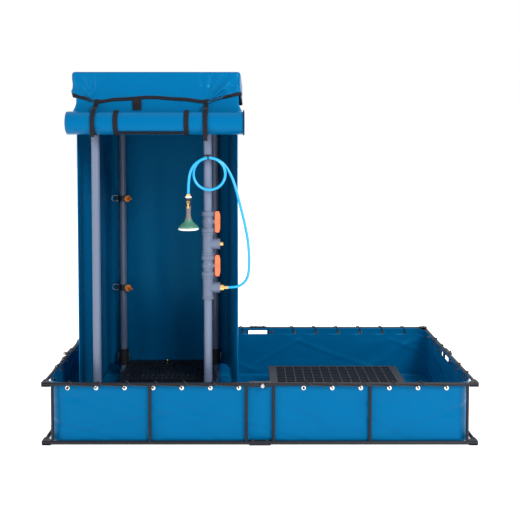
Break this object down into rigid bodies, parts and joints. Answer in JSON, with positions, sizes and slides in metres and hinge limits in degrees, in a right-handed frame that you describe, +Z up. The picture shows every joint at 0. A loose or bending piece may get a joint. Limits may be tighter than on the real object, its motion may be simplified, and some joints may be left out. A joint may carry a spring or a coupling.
{
  "type": "emergency safety shower",
  "caption": "Portable safety shower stall of grey pipe with a blue curtain, standing on a grid deck in a folding spill basin, with ball valves and a hose-fed hand sprayer.",
  "frame": {"origin": "on the floor at the middle of the basin", "axes": "+X along the basin's long side, to the right seen from the stall's door side; +Y to the back; +Z up"},
  "size_m": [2.497, 1.2976, 2.0923],
  "materials": {
    "black_cord": "braided cord",
    "black_webbing": "woven webbing",
    "blue_tarp": "coated blue tarpaulin, semi-gloss",
    "brass": "machined",
    "coupler_plastic": "black reinforced plastic",
    "deck_plastic": "black moulded plastic",
    "frame_steel": "black powder coat, satin",
    "green_plastic": "green spray head with a white rim",
    "grey_fitting": "grey PVC fitting",
    "grey_pvc": "grey PVC pipe",
    "grip_rubber": "grey-brown grip",
    "grommet_metal": "plated rings",
    "handle_plastic": "orange handle",
    "hose_blue": "light blue hose",
    "knob_plastic": "black knob",
    "nozzle_plastic": "cream cap with an orange tip",
    "stainless": "brushed",
    "zinc_steel": "zinc plated"
  },
  "bodies": {
    "stall": {"base_fittings": "grey_fitting", "base_nozzle": "brass", "base_pipes": "grey_pvc", "basin_liner": "blue_tarp", "cam_couplers": "coupler_plastic", "corner_plates": "frame_steel", "deck_left": "deck_plastic", "door_roll": "blue_tarp", "door_straps": "black_webbing", "frame_front_left": "frame_steel", "frame_front_right": "frame_steel", "frame_left_front": "frame_steel", "frame_left_rear": "frame_steel", "frame_rear_left": "frame_steel", "frame_rear_right": "frame_steel", "frame_right_front": "frame_steel", "frame_right_rear": "frame_steel", "grommets": "grommet_metal", "handset_nut": "brass", "hinge_bolts": "zinc_steel", "hinge_channels": "frame_steel", "hose": "hose_blue", "hose_adapter": "brass", "hose_tie": "black_cord", "inlet_adapter": "brass", "lacing_cord": "black_cord", "nozzle_clamps": "coupler_plastic", "riser_tees": "grey_fitting", "roof_cover": "blue_tarp", "stall_posts": "grey_pvc", "strap_buckles": "coupler_plastic", "top_fittings": "grey_fitting", "top_pipes": "grey_pvc", "valve_bodies": "grey_fitting", "wall_curtain": "blue_tarp"},
    "lock_knob_front": {"lock_knob_front": "knob_plastic"},
    "lock_knob_right": {"lock_knob_right": "knob_plastic"},
    "lock_knob_rear": {"lock_knob_rear": "knob_plastic"},
    "lock_knob_left": {"lock_knob_left": "knob_plastic"},
    "cam_arm_front_left_l": {"cam_arm_front_left_l": "stainless"},
    "cam_arm_front_left_r": {"cam_arm_front_left_r": "stainless"},
    "cam_arm_front_right_l": {"cam_arm_front_right_l": "stainless"},
    "cam_arm_front_right_r": {"cam_arm_front_right_r": "stainless"},
    "cam_arm_rear_left_l": {"cam_arm_rear_left_l": "stainless"},
    "cam_arm_rear_left_r": {"cam_arm_rear_left_r": "stainless"},
    "cam_arm_rear_right_l": {"cam_arm_rear_right_l": "stainless"},
    "cam_arm_rear_right_r": {"cam_arm_rear_right_r": "stainless"},
    "valve_lower": {"valve_handle_lower": "handle_plastic", "valve_ball_lower": "stainless"},
    "valve_upper": {"valve_handle_upper": "handle_plastic", "valve_ball_upper": "stainless"},
    "deck_right": {"deck_right": "deck_plastic"},
    "spray_nozzle_upper": {"spray_nozzle_upper": "nozzle_plastic"},
    "wire_bail_upper": {"wire_bail_upper": "stainless"},
    "spray_nozzle_lower": {"spray_nozzle_lower": "nozzle_plastic"},
    "wire_bail_lower": {"wire_bail_lower": "stainless"},
    "handset": {"handset_valve": "coupler_plastic", "handset_grip": "grip_rubber", "handset_bell": "green_plastic"},
    "handset_lever": {"handset_lever": "brass"}
  },
  "joints": [
    {"name": "lock_pull_front", "type": "slide", "parent": "stall", "child": "lock_knob_front", "axis": [0, -1, 0], "range_m": [0, 0.008], "stiffness_N_per_m": 400, "springref_m": -0.004},
    {"name": "lock_pull_right", "type": "slide", "parent": "stall", "child": "lock_knob_right", "axis": [1, 0, 0], "range_m": [0, 0.008], "stiffness_N_per_m": 400, "springref_m": -0.004},
    {"name": "lock_pull_rear", "type": "slide", "parent": "stall", "child": "lock_knob_rear", "axis": [0, 1, 0], "range_m": [0, 0.008], "stiffness_N_per_m": 400, "springref_m": -0.004},
    {"name": "lock_pull_left", "type": "slide", "parent": "stall", "child": "lock_knob_left", "axis": [-1, 0, 0], "range_m": [0, 0.008], "stiffness_N_per_m": 400, "springref_m": -0.004},
    {"name": "cam_arm_front_left_l_swing", "type": "hinge", "parent": "stall", "child": "cam_arm_front_left_l", "pos_m": [-0.982, -0.433, 0.168], "axis": [0, -1, 0], "range_deg": [0, 90]},
    {"name": "cam_arm_front_left_r_swing", "type": "hinge", "parent": "stall", "child": "cam_arm_front_left_r", "pos_m": [-0.906, -0.433, 0.168], "axis": [0, 1, 0], "range_deg": [0, 90]},
    {"name": "cam_arm_front_right_l_swing", "type": "hinge", "parent": "stall", "child": "cam_arm_front_right_l", "pos_m": [-0.337, -0.433, 0.168], "axis": [0, -1, 0], "range_deg": [0, 90]},
    {"name": "cam_arm_front_right_r_swing", "type": "hinge", "parent": "stall", "child": "cam_arm_front_right_r", "pos_m": [-0.261, -0.433, 0.168], "axis": [0, 1, 0], "range_deg": [0, 90]},
    {"name": "cam_arm_rear_left_l_swing", "type": "hinge", "parent": "stall", "child": "cam_arm_rear_left_l", "pos_m": [-0.982, 0.463, 0.168], "axis": [0, -1, 0], "range_deg": [0, 90]},
    {"name": "cam_arm_rear_left_r_swing", "type": "hinge", "parent": "stall", "child": "cam_arm_rear_left_r", "pos_m": [-0.906, 0.463, 0.168], "axis": [0, 1, 0], "range_deg": [0, 90]},
    {"name": "cam_arm_rear_right_l_swing", "type": "hinge", "parent": "stall", "child": "cam_arm_rear_right_l", "pos_m": [-0.337, 0.463, 0.168], "axis": [0, -1, 0], "range_deg": [0, 90]},
    {"name": "cam_arm_rear_right_r_swing", "type": "hinge", "parent": "stall", "child": "cam_arm_rear_right_r", "pos_m": [-0.261, 0.463, 0.168], "axis": [0, 1, 0], "range_deg": [0, 90]},
    {"name": "valve_turn_lower", "type": "hinge", "parent": "stall", "child": "valve_lower", "pos_m": [-0.299, -0.433, 0.98], "axis": [1, 0, 0], "range_deg": [0, 90]},
    {"name": "valve_turn_upper", "type": "hinge", "parent": "stall", "child": "valve_upper", "pos_m": [-0.299, -0.433, 1.234], "axis": [1, 0, 0], "range_deg": [0, 90]},
    {"name": "deck_lift", "type": "slide", "parent": "stall", "child": "deck_right", "axis": [0, 0, 1], "range_m": [0, 0.4]},
    {"name": "nozzle_turn_upper", "type": "hinge", "parent": "stall", "child": "spray_nozzle_upper", "pos_m": [-0.944, 0.463, 1.299], "axis": [0.7071, -0.7071, 0], "continuous": true},
    {"name": "bail_swing_upper", "type": "hinge", "parent": "stall", "child": "wire_bail_upper", "pos_m": [-0.98, 0.463, 1.299], "axis": [0, 0, 1], "range_deg": [-50, 50]},
    {"name": "nozzle_turn_lower", "type": "hinge", "parent": "stall", "child": "spray_nozzle_lower", "pos_m": [-0.944, 0.463, 0.675], "axis": [0.7071, -0.7071, 0], "continuous": true},
    {"name": "bail_swing_lower", "type": "hinge", "parent": "stall", "child": "wire_bail_lower", "pos_m": [-0.98, 0.463, 0.675], "axis": [0, 0, 1], "range_deg": [-50, 50]},
    {"name": "handset_swivel", "type": "hinge", "parent": "stall", "child": "handset", "pos_m": [-0.405, -0.5, 1.377], "axis": [0, 0, 1], "continuous": true},
    {"name": "handset_lever_turn", "type": "hinge", "parent": "handset", "child": "handset_lever", "pos_m": [-0.405, -0.5, 1.354], "axis": [0, 1, 0], "range_deg": [0, 90]}
  ]
}
